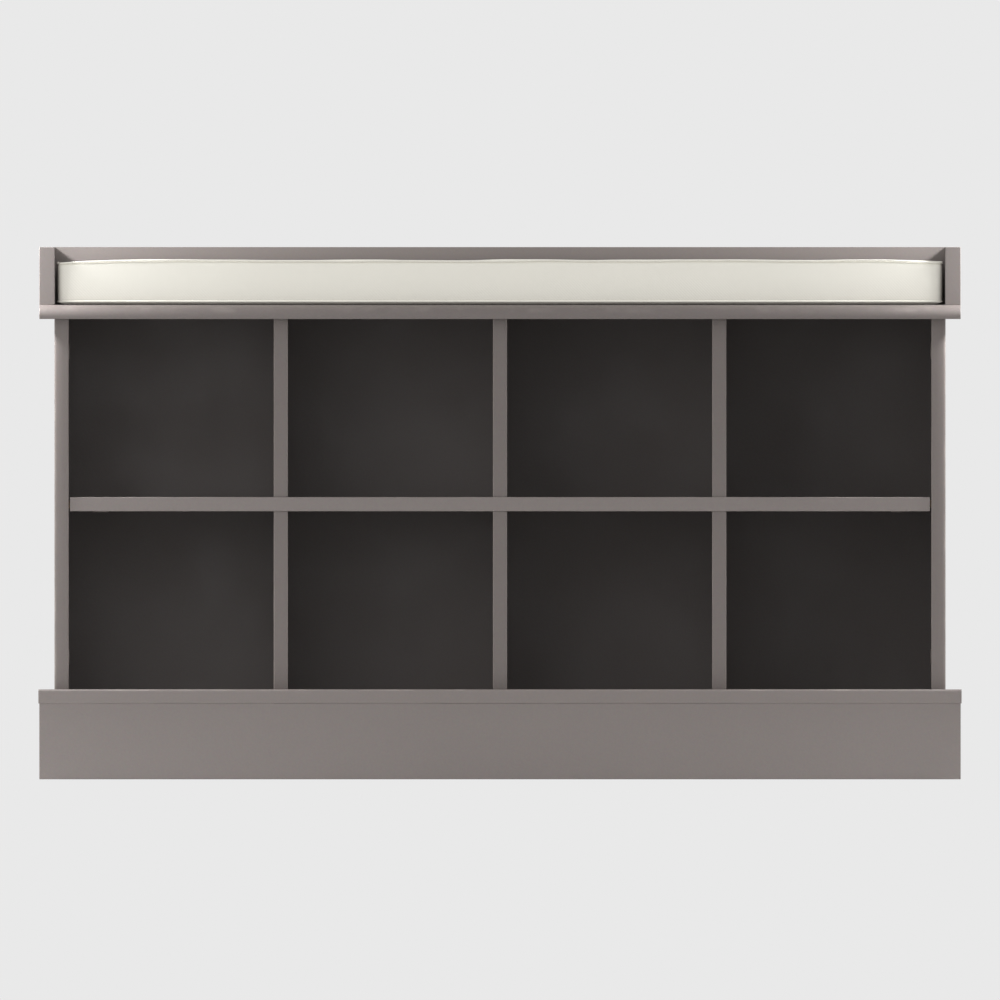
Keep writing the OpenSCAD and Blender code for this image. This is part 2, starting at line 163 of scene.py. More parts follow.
floor_size = 60
floor_drop = 0.0003
bpy.ops.object.select_all(action="DESELECT")
bpy.ops.mesh.primitive_plane_add(size=floor_size, location=(0, 0, -floor_drop))
floor = bpy.context.object
floor.name = "studio_floor"
floor_finish, floor_place = new_finish("matt_studio_paper")
mottle = add(
    floor_finish, "ShaderNodeTexNoise", {"Vector": floor_place, "Scale": per(667), "Detail": 2}
)
floor_tone = add(
    floor_finish, "ShaderNodeMix",
    {0: mottle.outputs["Fac"], 6: paint_chip("eeeeed"), 7: paint_chip("f0f0ef")},
    data_type="RGBA",
)
floor.data.materials.append(close_finish(floor_finish, add(
    floor_finish, "ShaderNodeBsdfPrincipled",
    {"Base Color": floor_tone.outputs[2], "Roughness": 0.9, "Specular IOR Level": 0.1},
)))
print("studio: world and floor")


# %% Lamps
def soft_lamp(name, place, aim, size, watts, colour):
    bpy.ops.object.light_add(type="AREA", location=place)
    lamp = bpy.context.object
    lamp.name = name
    lamp.rotation_euler = (Vector(aim) - Vector(place)).to_track_quat("-Z", "Y").to_euler()
    lamp.data.shape = "DISK"
    lamp.data.size = size
    lamp.data.energy = watts
    lamp.data.color = colour
    lamp.visible_camera = False


end_lamp_out = 0.68
for name, side, watts in (("lamp_left", -1, 5.8), ("lamp_right", 1, 4.4)):
    soft_lamp(
        name, (side * end_lamp_out, -0.187, 0.71), (side * end_lamp_out, -0.09, 0.41),
        size=0.10, watts=watts, colour=(0.98, 0.99, 1.0),
    )
soft_lamp(
    "front_softbox", (-0.75, -2.0, 0.70), (0, 0, 0.28), size=1.2, watts=4.2, colour=(1.0, 0.99, 0.98)
)

# %% [markdown]
# ## Satin paint on fibreboard
#
# The boards are medium-density fibreboard with a sprayed satin paint. Spraying leaves a fine orange
# peel, soft waves about two millimetres wide that break up highlights, and the gloss varies a little
# over a hand's breadth. On the eased edges the paint is thinner and gets rubbed, so the paler primer
# starts to show; the same paler edges are also a painted highlight, standing in for the lamps' glints
# on the rounded edges, most of all on the dividers. The shader finds those edges by the surface's own
# direction: on a board's flat faces the normal lies along one axis, and on an eased edge it doesn't.


# %% Satin paint
def satin_paint(name, colour, least_wear_and_highlight, most_wear_and_highlight):
    material, place = new_finish(name)
    drift = add(material, "ShaderNodeTexNoise", {"Vector": place, "Scale": per(286), "Detail": 3})
    speck = add(material, "ShaderNodeTexNoise", {"Vector": place, "Scale": per(2.38), "Detail": 2})
    dark = [0.93 * part for part in colour[:3]] + [1]
    light = [1.07 * part for part in colour[:3]] + [1]
    broad = add(
        material, "ShaderNodeMix", {0: drift.outputs["Fac"], 6: dark, 7: light}, data_type="RGBA"
    )
    fine = add(
        material, "ShaderNodeMix",
        {0: 0.10, 6: broad.outputs[2], 7: speck.outputs["Color"]},
        data_type="RGBA", blend_type="SOFT_LIGHT",
    )
    # Eased edges: the longest part of the normal drops below 1 there
    facing = add(material, "ShaderNodeNewGeometry", {})
    sizes = add(
        material, "ShaderNodeVectorMath", {0: facing.outputs["True Normal"]}, operation="ABSOLUTE"
    )
    parts = add(material, "ShaderNodeSeparateXYZ", {0: sizes.outputs[0]})
    wider = add(
        material, "ShaderNodeMath", {0: parts.outputs[0], 1: parts.outputs[1]}, operation="MAXIMUM"
    )
    widest = add(
        material, "ShaderNodeMath", {0: wider.outputs[0], 1: parts.outputs[2]}, operation="MAXIMUM"
    )
    eased = add(
        material, "ShaderNodeMapRange",
        {"Value": widest.outputs[0], "From Min": 0.97, "From Max": 0.80, "To Min": 0, "To Max": 1},
    )
    wear_and_highlight_noise = add(material, "ShaderNodeTexNoise", {"Vector": place, "Scale": per(35.7), "Detail": 5})
    wear_and_highlight_patches = add(
        material, "ShaderNodeMapRange",
        {
            "Value": wear_and_highlight_noise.outputs["Fac"], "From Min": 0.48, "From Max": 0.72,
            "To Min": least_wear_and_highlight, "To Max": most_wear_and_highlight,
        },
    )
    wear_and_highlight = add(
        material, "ShaderNodeMath", {0: eased.outputs[0], 1: wear_and_highlight_patches.outputs[0]}, operation="MULTIPLY"
    )
    # Paler edges: primer where the paint is rubbed, and a painted highlight standing in for the lamps'
    # glints on the rounded edges.
    tone = add(
        material, "ShaderNodeMix",
        {0: wear_and_highlight.outputs[0], 6: fine.outputs[2], 7: paint_chip("a9a09a")}, data_type="RGBA",
    )
    gloss = add(material, "ShaderNodeTexNoise", {"Vector": place, "Scale": per(71.4), "Detail": 3})
    roughness = add(
        material, "ShaderNodeMapRange",
        {
            "Value": gloss.outputs["Fac"], "From Min": 0.3, "From Max": 0.7,
            "To Min": 0.40, "To Max": 0.50,
        },
    )
    # Orange peel: waves about 2 mm wide
    peel = add(material, "ShaderNodeTexNoise", {"Vector": place, "Scale": per(2.2), "Detail": 2})
    relief = add(
        material, "ShaderNodeBump",
        {"Height": peel.outputs["Fac"], "Strength": 1.0, "Distance": 0.00007},
    )
    shader = add(
        material, "ShaderNodeBsdfPrincipled",
        {
            "Base Color": tone.outputs[2], "Roughness": roughness.outputs[0], "IOR": 1.5,
            "Normal": relief.outputs[0],
        },
    )
    return close_finish(material, shader)


# Three copies of the paint. The dividers, side panels and back panel take a darker copy, painted shade
# where those boards sit back in the cubbies, with the palest edges, a painted highlight. The seat
# board takes the same darker colour, painted shade, with little pale edge.
board_paint = satin_paint("satin_paint_on_fibreboard", paint_chip("7d7572"), 0.10, 0.60)
shaded_paint_bright_edges = satin_paint("satin_paint_shaded_with_edge_highlights", paint_chip("706865"), 0.40, 0.85)
shaded_seat_paint = satin_paint("satin_paint_on_seat_board_shaded", paint_chip("706865"), 0.0, 0.25)
print("paint:", board_paint.name, shaded_paint_bright_edges.name, shaded_seat_paint.name)

# %% [markdown]
# ## Boards
#
# Every board is a sawn panel whose edges were eased with a router. By hand it is a block at the
# board's own size, and a bevel on its edges with the cutter's radius. A board has four long edges,
# which are rounded first, each with its own radius, and two sawn ends, whose outlines are eased
# after that, so that the ends follow the rounded section. Weighted normals then keep the wide faces
# flat in the light, so that only the eased edges turn it.

# %% Tools for boards
# Each side's axis, and whether it is the low or the high limit along it
SIDES = {
    "left": (0, 0), "right": (0, 1), "front": (1, 0), "back": (1, 1), "bottom": (2, 0), "top": (2, 1),
}


def block(name, low, high):
    """A cube that fills the box from low to high, with its object at the origin."""
    bpy.ops.object.select_all(action="DESELECT")
    bpy.ops.mesh.primitive_cube_add(size=1, location=(low + high) / 2, scale=high - low)
    bpy.ops.object.transform_apply(location=True, rotation=True, scale=True)
    piece = bpy.context.object
    piece.name = name
    piece.data.name = name
    return piece


def extent(piece):
    """The low and the high corner of a piece's own box."""
    points = [vertex.co for vertex in piece.data.vertices]
    return tuple(Vector(limit(p[axis] for p in points) for axis in range(3)) for limit in (min, max))


def pick_edges(piece, *sides):
    """Selects the edges that lie on all the named sides of the piece, and opens it for editing."""
    limits = extent(piece)
    bpy.ops.object.mode_set(mode="EDIT")
    bpy.ops.mesh.select_mode(type="EDGE")
    bpy.ops.mesh.select_all(action="DESELECT")
    bpy.ops.object.mode_set(mode="OBJECT")
    points = piece.data.vertices
    planes = [(SIDES[side][0], limits[SIDES[side][1]][SIDES[side][0]]) for side in sides]
    for edge in piece.data.edges:
        ends = [points[i].co for i in edge.vertices]
        edge.select = all(abs(end[axis] - level) < 1e-5 for end in ends for axis, level in planes)
    bpy.ops.object.mode_set(mode="EDIT")


def ease(piece, sides, radius, steps):
    """Rounds the edges that lie on all the named sides."""
    pick_edges(piece, *sides)
    bpy.ops.mesh.bevel(offset=radius, segments=steps, affect="EDGES", clamp_overlap=False)
    bpy.ops.object.mode_set(mode="OBJECT")


def smooth(piece):
    """Smooth shading that leaves the wide faces flat."""
    bpy.ops.object.select_all(action="DESELECT")
    piece.select_set(True)
    bpy.context.view_layer.objects.active = piece
    bpy.ops.object.shade_smooth()
    bpy.ops.object.modifier_add(type="WEIGHTED_NORMAL")
    bpy.ops.object.modifier_apply(modifier=piece.modifiers[0].name)


def hand_over(piece, material, slot, body, *replaced):
    """Gives a finished piece its finish, hides the CAD solids that it stands for, and hangs it on its
    body.
    """
    piece.data.materials.clear()
    piece.data.materials.append(material)
    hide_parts(*replaced)
    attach(piece, body)


print("board tools: block, ease, smooth, hand_over")

# %% [markdown]
# The radii are the real cutter's: 12.5 mm on the seat's front edge, 2.5 mm on the bottom board's, and
# about 1 mm wherever an edge was only eased with sandpaper. Where a board's edge closes tightly
# against another board it is barely broken. The seat's nose was sanded further back than it is
# high: its round is stretched away from the front face before the sawn ends are eased.

# %% The long boards and the dividers
arris = 0.001
tight = 0.0003
nose_height = 0.0125
nose_depth = 0.016
sawn_across = {"left": 0.0004, "right": 0.0004}
butted_across = {"left": tight, "right": tight}
butted_deep = {"front": tight, "back": tight}
butted_upright = {"bottom": tight, "top": tight}
seat_edges = {("front", "top"): nose_height, ("front", "bottom"): tight}
plinth_edges = {("front", "top"): tight, ("back", "top"): tight}
rail_edges = {(side, level): tight for side in ("front", "back") for level in ("bottom", "top")}

# node: the paint, the sawn ends with their radii, and the long edges that don't have the usual one
boards = {
    "seat_board": (shaded_seat_paint, sawn_across, seat_edges),
    "back_rail": (board_paint, butted_across, rail_edges),
    "middle_shelf": (board_paint, sawn_across, {}),
    "bottom_board": (board_paint, sawn_across, {("front", "top"): 0.0025}),
    "plinth_front": (board_paint, sawn_across, plinth_edges),
    "plinth_back": (board_paint, sawn_across, plinth_edges),
    "plinth_left": (board_paint, butted_deep, {}),
    "plinth_right": (board_paint, butted_deep, {}),
    "plinth_brace": (board_paint, butted_deep, {}),
}
for row in ("upper", "lower"):
    for column in ("left", "centre", "right"):
        boards[f"divider_{row}_{column}"] = (shaded_paint_bright_edges, butted_upright, {})


def squeeze_front(piece, reach, factor):
    """Scales the points within reach of the front face towards it, or away from it."""
    front = extent(piece)[0].y
    bpy.ops.object.mode_set(mode="EDIT")
    bpy.ops.mesh.select_mode(type="VERT")
    bpy.ops.mesh.select_all(action="DESELECT")
    bpy.ops.object.mode_set(mode="OBJECT")
    for vertex in piece.data.vertices:
        vertex.select = vertex.co.y < front + reach + 1e-5
    bpy.ops.object.mode_set(mode="EDIT")
    bpy.ops.transform.resize(value=(1, factor, 1), center_override=(0, front, 0))
    bpy.ops.object.mode_set(mode="OBJECT")


def ease_board(board, ends, rounded):
    """Rounds a board's four long edges, and then the outlines of its two ends."""
    around = [side for side in SIDES if side not in ends]
    for one in around:
        for other in around:
            if SIDES[one][0] < SIDES[other][0]:
                radius = rounded.get((one, other), arris)
                ease(board, (one, other), radius, 14 if radius > 0.005 else 4)
                if radius == nose_height:
                    squeeze_front(board, nose_height, nose_depth / nose_height)
    for end, radius in ends.items():
        ease(board, (end,), radius, 3)


countersink_radius = 0.0042
countersink_depth = 0.0027
shank_radius = 0.0019
cutter_overlap = 0.0001
head_spacing = 0.01


def head_places(node):
    """The middles of a node's screw heads, from the rims at its lowest level."""
    screws = cad_nodes[node]
    points = [screws.matrix_world @ vertex.co for vertex in screws.data.vertices]
    lowest = min(point.z for point in points)
    rims = []
    for point in points:
        if point.z < lowest + 1e-4:
            for rim in rims:
                if (rim[0] - point).length < head_spacing:
                    rim.append(point)
                    break
            else:
                rims.append([point])
    return [(Vector(map(min, *rim)) + Vector(map(max, *rim))) / 2 for rim in rims]


def countersink(board, *screw_nodes):
    """Cuts a shallow cone into the board's underside over each screw head."""
    bpy.ops.object.select_all(action="DESELECT")
    face = extent(board)[0].z
    cones = []
    for place in [place for node in screw_nodes for place in head_places(node)]:
        bpy.ops.mesh.primitive_cone_add(
            vertices=32, radius1=countersink_radius, radius2=shank_radius,
            depth=countersink_depth + cutter_overlap,
            location=(place.x, place.y, face + (countersink_depth - cutter_overlap) / 2),
        )
        cones.append(bpy.context.object)
    for cone in cones:
        cone.select_set(True)
    bpy.ops.object.join()
    cutter = bpy.context.object
    bpy.context.view_layer.objects.active = board
    bpy.ops.object.modifier_add(type="BOOLEAN")
    board.modifiers[0].object = cutter
    bpy.ops.object.modifier_apply(modifier=board.modifiers[0].name)
    bpy.data.objects.remove(cutter)
    return len(cones)


for node, (paint, ends, rounded) in boards.items():
    board = block("board_" + node, *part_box(node))
    ease_board(board, ends, rounded)
    if node == "seat_board":
        print("countersunk holes:", countersink(board, "arm_screws", "rail_screws"))
    smooth(board)
    hand_over(board, paint, "painted_board", "bench", node)
print("boards:", len(boards))

# %% [markdown]
# ## Arms
#
# An arm is a low board on edge. Its front edge isn't quite square: it leans back towards the outer
# side by a millimetre and a half, and so it looks paler than the boards beside it. The outer upright
# edge is pushed back before the corners are rounded.

# %% Arms
arm_lean = 0.0016
arm_corner = 0.0007
arm_top = 0.0004
for side in ("left", "right"):
    node = "arm_" + side
    arm = block("board_" + node, *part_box(node))
    pick_edges(arm, side, "front")
    bpy.ops.transform.translate(value=(0, arm_lean, 0))
    bpy.ops.mesh.bevel(offset=arm_corner, segments=4, affect="EDGES")
    bpy.ops.object.mode_set(mode="OBJECT")
    inner = "right" if side == "left" else "left"
    for edge in ((inner, "front"), (inner, "back"), (side, "back")):
        ease(arm, edge, arris, 4)
    ease(arm, ("top",), arm_top, 3)
    ease(arm, ("bottom",), tight, 2)
    smooth(arm)
    hand_over(arm, board_paint, "painted_board", "bench", node)
print("arms: front edge leans back", arm_lean * 1000, "mm")

# %% [markdown]
# ## Side panels
#
# The front edge of each side panel isn't flat: it was sanded to a long soft curve that starts near
# the cubby and falls back nearly three millimetres at the outer corner, so it catches the lamps over
# half its width. A bevel can only make an equal curve on both faces, so the outer corner is
# first rounded with a large radius, and its points are then pressed flat towards the front face.

# %% Side panels
camber_width = 0.0105
camber_depth = 0.0028
for side, outer, inner in (("left", "left", "right"), ("right", "right", "left")):
    node = "side_panel_" + side
    panel = block("board_" + node, *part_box(node))
    ease(panel, (outer, "front"), camber_width, 12)
    squeeze_front(panel, camber_width, camber_depth / camber_width)
    for edge in ((inner, "front"), (inner, "back"), (outer, "back")):
        ease(panel, edge, arris, 4)
    for end in ("bottom", "top"):
        ease(panel, (end,), tight, 2)
    smooth(panel)
    hand_over(panel, shaded_paint_bright_edges, "painted_board", "bench", node)
print("side panels: camber", camber_width * 1000, "mm wide")

# %% [markdown]
# ## Back panel
#
# The back is a thin sheet nailed on behind. It has the darker copy of the paint, painted shade, with
# hardly any rounding.

# %% Back panel
back = block("board_back_panel", *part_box("back_panel"))
for side in ("left", "right", "bottom", "top"):
    ease(back, (side,), tight, 2)
smooth(back)
hand_over(back, shaded_paint_bright_edges, "painted_board", "bench", "back_panel")
print("back panel:", len(back.data.polygons), "faces")

# %% [markdown]
# ## Cotton cover
#
# The cover is a plain-woven cotton canvas, off-white and matt, with a faint fuzz that lightens it
# at glancing angles. Its threads are about 0.8 mm apart, too fine to show at this distance, so
# they are drawn twice as coarse, with painted shade in the low gaps between them. The pattern
# follows the cloth's own map, laid out in metres.


# %% Cotton canvas
def cotton_canvas(name, colour):
    material, place = new_finish(name)
    cloth = add(material, "ShaderNodeUVMap", {}, uv_map="cloth")
    thread = 0.0016
    half_turns = math.pi / thread
    parts = add(material, "ShaderNodeSeparateXYZ", {0: cloth.outputs[0]})
    waves = []
    for axis in (0, 1):
        phase = add(
            material, "ShaderNodeMath", {0: parts.outputs[axis], 1: half_turns}, operation="MULTIPLY"
        )
        waves.append(add(material, "ShaderNodeMath", {0: phase.outputs[0]}, operation="SINE"))
    crossing = add(
        material, "ShaderNodeMath",
        {0: waves[0].outputs[0], 1: waves[1].outputs[0]}, operation="MULTIPLY",
    )
    weave = add(
        material, "ShaderNodeMapRange",
        {"Value": crossing.outputs[0], "From Min": -1, "From Max": 1, "To Min": 0, "To Max": 1},
    )
    slub = add(material, "ShaderNodeTexNoise", {"Vector": place, "Scale": per(3.85), "Detail": 3})
    cloudy = add(material, "ShaderNodeTexNoise", {"Vector": place, "Scale": per(111), "Detail": 3})
    height = add(
        material, "ShaderNodeMath",
        {0: weave.outputs[0], 1: slub.outputs["Fac"]}, operation="ADD",
    )
    light = [min(1, 1.02 * part) for part in colour[:3]] + [1]
    dark = [0.955 * part for part in colour[:3]] + [1]
    # The colour of the weave's low gaps, darker than the threads: painted shade.
    gap_shade_colour = [0.93 * part for part in colour[:3]] + [1]
    broad = add(
        material, "ShaderNodeMix", {0: cloudy.outputs["Fac"], 6: dark, 7: light}, data_type="RGBA"
    )
    # Where the weave is low, the colour moves towards that darker one: painted shade between the
    # threads.
    gap_shade = add(
        material, "ShaderNodeMapRange",
        {"Value": height.outputs[0], "From Min": 0.2, "From Max": 0.9, "To Min": 0.30, "To Max": 0.0},
    )
    tone = add(
        material, "ShaderNodeMix",
        {0: gap_shade.outputs[0], 6: broad.outputs[2], 7: gap_shade_colour}, data_type="RGBA",
    )
    relief = add(
        material, "ShaderNodeBump",
        {"Height": height.outputs[0], "Strength": 0.5, "Distance": 0.00012},
    )
    shader = add(
        material, "ShaderNodeBsdfPrincipled",
        {
            "Base Color": tone.outputs[2], "Roughness": 0.9, "IOR": 1.45, "Normal": relief.outputs[0],
            "Sheen Weight": 0.12, "Sheen Roughness": 0.5,
        },
    )
    return close_finish(material, shader)


cover_cloth = cotton_canvas("plain_woven_cotton_canvas", paint_chip("edeae0"))
print("cloth:", cover_cloth.name)

# %% [markdown]
# ## Cushion
#
# The cushion is a foam slab in a sewn box cover: a top and a bottom panel, joined by a strip that
# runs round the sides, with a corded seam along both edges. It is blown up slightly by its foam. A
# cloth simulation gives that: the cover starts as a block a little smaller than the real cushion,
# is remeshed to an even net, and is then inflated for twenty frames with its seams and its resting
# face held still. How far a point may travel is capped, as the foam stops it.

# %% The cover before it is filled
cushion_low, cushion_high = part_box("cushion_cover")
slack = Vector((0.0012, 0.0012, 0))
crown_room = Vector((0, 0, 0.0013))
seam_top = cushion_high.z - 0.0011
seam_bottom = cushion_low.z + 0.0018
seam_inset = 0.0016
corner_radius = 0.009
cover = block("cushion_cover_sewn", cushion_low + slack, cushion_high - slack - crown_room)
for upright in (("left", "front"), ("right", "front"), ("left", "back"), ("right", "back")):
    ease(cover, upright, corner_radius, 6)
ease(cover, ("bottom",), 0.0020, 3)
ease(cover, ("top",), 0.0010, 2)
cover.data.remesh_voxel_size = 0.005
bpy.ops.object.voxel_remesh()
print("cover before filling:", len(cover.data.vertices), "points")


# %% Fill the cover
def near_seam(point, reach):
    return min(abs(point.z - seam_top), abs(point.z - seam_bottom)) < reach


def swell(piece, pressure, frames, hold, caps):
    """Blows the piece up as cloth, with some points held, and caps how far the others travel."""
    start = [vertex.co.copy() for vertex in piece.data.vertices]
    held = piece.vertex_groups.new(name="held")
    held.add([i for i, point in enumerate(start) if hold(point)], 1.0, "REPLACE")
    bpy.ops.object.modifier_add(type="CLOTH")
    cloth = piece.modifiers[0]
    cloth.settings.use_pressure = True
    cloth.settings.uniform_pressure_force = pressure
    cloth.settings.effector_weights.gravity = 0
    cloth.settings.vertex_group_mass = "held"
    cloth.settings.tension_stiffness = 20
    cloth.settings.compression_stiffness = 20
    cloth.settings.bending_stiffness = 1.5
    cloth.collision_settings.use_collision = False
    for frame_number in range(1, frames + 1):
        scene.frame_set(frame_number)
    bpy.ops.object.modifier_apply(modifier=cloth.name)
    for vertex, before in zip(piece.data.vertices, start):
        for axis in range(3):
            travel = vertex.co[axis] - before[axis]
            vertex.co[axis] = before[axis] + max(-caps[axis], min(caps[axis], travel))
    scene.frame_set(1)
    piece.vertex_groups.clear()


swell(
    cover, pressure=4, frames=20, caps=(0.0012, 0.0008, 0.0010),
    hold=lambda p: near_seam(p, 0.0028) or p.z < cushion_low.z + 0.002,
)
bpy.ops.object.modifier_add(type="SUBSURF")
cover.modifiers[0].levels = 1
cover.modifiers[0].render_levels = 1
bpy.ops.object.modifier_apply(modifier=cover.modifiers[0].name)
print("cover, filled:", len(cover.data.vertices), "points, top at", round(extent(cover)[1].z, 4))

# %% [markdown]
# A used cushion isn't quite straight. Its long sides pull in a little between the corners, where
# the seams meet and the cloth stands out as small ears, its top edge dips towards both ends, and
# the foam leaves slow waves along it. Underneath, the cloth turns up to the lower seam, which stands
# a little clear of the seat. One function moves any point that way, so that the cover and its corded
# seams stay together.

# %% Settle the cushion
middle = (cushion_low + cushion_high) / 2
half = (cushion_high - cushion_low) / 2
front_pull = 0.0022
ear_length = 0.0012
end_drop = 0.0024
wave_height, wave_length, wave_width = 0.0016, 0.105, 0.22
ripple_height, ripple_length, ripple_width = 0.0004, 0.034, 0.05
tuck_lift, tuck_reach, tuck_height = 0.0026, 0.008, 0.006


def settle(point):
    """Where a point of the cushion ends up once the cushion has been used for a while."""
    along, across = (point.x - middle.x) / half.x, (point.y - middle.y) / half.y
    up = max(0.0, min(1.0, (point.z - cushion_low.z) / (2 * half.z)))
    moved = point.copy()
    pull = front_pull * (1 - along ** 6) * up
    if across < 0:
        moved.y += pull * min(1.0, -1.2 * across) ** 4
    ears = max(0.0, abs(along) - 0.985) / 0.015 * max(0.0, abs(across) - 0.9) / 0.1
    moved.x += math.copysign(ear_length, along) * ears * up ** 3
    end_dip = end_drop * max(0.0, (abs(along) - 0.86) / 0.14) ** 2
    wave = noise.noise(Vector((point.x / wave_length, point.y / wave_width, 3.1)))
    ripple = noise.noise(Vector((point.x / ripple_length, point.y / ripple_width, 7.7)))
    moved.z += up ** 2 * (wave_height * wave + ripple_height * ripple - end_dip)
    inwards = min(half.x - abs(point.x - middle.x), half.y - abs(point.y - middle.y))
    above_seat = max(0.0, point.z - cushion_low.z)
    moved.z += tuck_lift * max(0.0, 1 - inwards / tuck_reach) * max(0.0, 1 - above_seat / tuck_height)
    return moved


def corded_seam(level, radius):
    """A cord that runs round the cushion at one level, a hair outside the cover."""
    bpy.ops.object.select_all(action="DESELECT")
    bpy.ops.mesh.primitive_plane_add(size=1, location=(middle.x, middle.y, level))
    cord = bpy.context.object
    cord.scale = (2 * (half.x - seam_inset), 2 * (half.y - seam_inset), 1)
    bpy.ops.object.transform_apply(location=True, rotation=True, scale=True)
    bpy.ops.object.mode_set(mode="EDIT")
    bpy.ops.mesh.select_all(action="SELECT")
    bpy.ops.mesh.bevel(offset=corner_radius, segments=8, affect="VERTICES", clamp_overlap=False)
    bpy.ops.mesh.select_all(action="SELECT")
    bpy.ops.mesh.delete(type="ONLY_FACE")
    bpy.ops.object.mode_set(mode="OBJECT")
    for edge in cord.data.edges:
        ends = [cord.data.vertices[i].co for i in edge.vertices]
        edge.select = (ends[0] - ends[1]).length > 0.05
    for point in cord.data.vertices:
        point.select = False
    bpy.ops.object.mode_set(mode="EDIT")
    bpy.ops.mesh.select_mode(type="EDGE")
    bpy.ops.mesh.subdivide(number_cuts=90)
    bpy.ops.object.mode_set(mode="OBJECT")
    for vertex in cord.data.vertices:
        vertex.co = settle(vertex.co)
    bpy.ops.object.convert(target="CURVE")
    cord.data.bevel_depth = radius
    cord.data.bevel_resolution = 2
    bpy.ops.object.convert(target="MESH")
    return bpy.context.object


zip_low, zip_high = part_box("cushion_zip")
for vertex in cover.data.vertices:
    vertex.co = settle(vertex.co)
    vertex.co.z = max(vertex.co.z, cushion_low.z)
    behind = zip_low.x - 0.01 < vertex.co.x < zip_high.x + 0.01 and abs(vertex.co.z - middle.z) < 0.017
    vertex.co.y = min(vertex.co.y, cushion_high.y - (0.0003 if behind else 0.0001))
cords = [corded_seam(seam_top, 0.0009), corded_seam(seam_bottom, 0.0011)]
bpy.ops.object.select_all(action="DESELECT")
for cord in cords:
    cord.select_set(True)
cover.select_set(True)
bpy.context.view_layer.objects.active = cover
bpy.ops.object.join()
print("cushion:", len(cover.data.polygons), "faces")

# %% [markdown]
# The cloth's map is laid out as the cover was cut: the top and bottom panels flat from above, and
# the strip round the sides unrolled, so that the threads run level along it. It is in metres.

# %% Lay out the cloth
while cover.data.uv_layers:
    cover.data.uv_layers.remove(cover.data.uv_layers[0])
layout = cover.data.uv_layers.new(name="cloth")
for face in cover.data.polygons:
    level = abs(face.normal.z) > 0.72
    faces_front = abs(face.normal.y) > abs(face.normal.x)
    for corner in face.loop_indices:
        point = cover.data.vertices[cover.data.loops[corner].vertex_index].co
        along = point.x if level or faces_front else point.y
        layout.data[corner].uv = (along, point.y if level else point.z)
bpy.ops.object.shade_smooth()
hand_over(cover, cover_cloth, "cotton_cover", "cushion", "cushion_cover")
print("cloth map:", layout.name)

# %% [markdown]
# ## Foam core
#
# Inside the cover is a slab of upholstery foam, cut square and softened at its edges. Foam is a mass
# of small open cells, which the shader draws as fine pits, painted darker at their bottoms as
# painted shade.

# %% Foam core
foam_finish, foam_place = new_finish("open_cell_polyurethane_foam")
cells = add(foam_finish, "ShaderNodeTexVoronoi", {"Vector": foam_place, "Scale": per(1.43)})
# Darker towards each cell's middle, where the pit is deepest: painted shade.
foam_tone_with_pit_shade = add(
    foam_finish, "ShaderNodeMix",
    {0: cells.outputs["Distance"], 6: paint_chip("d9c995"), 7: paint_chip("efe2b4")},
    data_type="RGBA",
)
foam_relief = add(
    foam_finish, "ShaderNodeBump",
    {"Height": cells.outputs["Distance"], "Strength": 0.6, "Distance": 0.0004},
)
close_finish(foam_finish, add(
    foam_finish, "ShaderNodeBsdfPrincipled",
    {"Base Color": foam_tone_with_pit_shade.outputs[2], "Roughness": 0.95, "Normal": foam_relief.outputs[0]},
))
foam_low, foam_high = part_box("cushion_foam")
foam_inset = Vector((0.004, 0.005, 0.003))
foam = block("cushion_foam_core", foam_low + foam_inset, foam_high - foam_inset)
for side in SIDES:
    ease(foam, (side,), 0.003, 3)
smooth(foam)
hand_over(foam, foam_finish, "cushion_foam", "cushion", "cushion_foam")
print("foam core:", [round(side, 3) for side in extent(foam)[1] - extent(foam)[0]])

# %% [markdown]
# ## Zip
#
# The cover opens along its rear edge with a coil zip: two woven tapes that meet in the middle, and a
# row of nylon turns that lock into one another. One turn is modelled and repeated by an array at the
# real spacing, so that the coil is real geometry and not a pattern.


# %% Zip tape
def woven_tape(name, colour):
    """Fine herringbone tape: ribs 1.2 mm apart that lean one way and then the other, darker in the
    troughs between them as painted shade.
    """
    rib_spacing = 0.0012
    lean_height = 0.004
    material, place = new_finish(name)
    parts = add(material, "ShaderNodeSeparateXYZ", {0: place})
    lean = add(
        material, "ShaderNodeMath", {0: parts.outputs["Z"], 1: lean_height}, operation="PINGPONG"
    )
    slanted = add(
        material, "ShaderNodeMath", {0: parts.outputs["X"], 1: lean.outputs[0]}, operation="ADD"
    )
    phase = add(
        material, "ShaderNodeMath",
        {0: slanted.outputs[0], 1: 2 * math.pi / rib_spacing}, operation="MULTIPLY",
    )
    rib = add(material, "ShaderNodeMath", {0: phase.outputs[0]}, operation="SINE")
    height = add(
        material, "ShaderNodeMapRange",
        {"Value": rib.outputs[0], "From Min": -1, "From Max": 1, "To Min": 0, "To Max": 1},
    )
    # The troughs between the ribs are darker: painted shade.
    dark = [0.82 * part for part in colour[:3]] + [1]
    tone = add(
        material, "ShaderNodeMix", {0: height.outputs[0], 6: dark, 7: colour}, data_type="RGBA"
    )
    relief = add(
        material, "ShaderNodeBump",
        {"Height": height.outputs[0], "Strength": 0.6, "Distance": 0.00015},
    )
    shader = add(
        material, "ShaderNodeBsdfPrincipled",
        {
            "Base Color": tone.outputs[2], "Roughness": 0.75, "Normal": relief.outputs[0],
            "Sheen Weight": 0.1,
        },
    )
    return close_finish(material, shader)


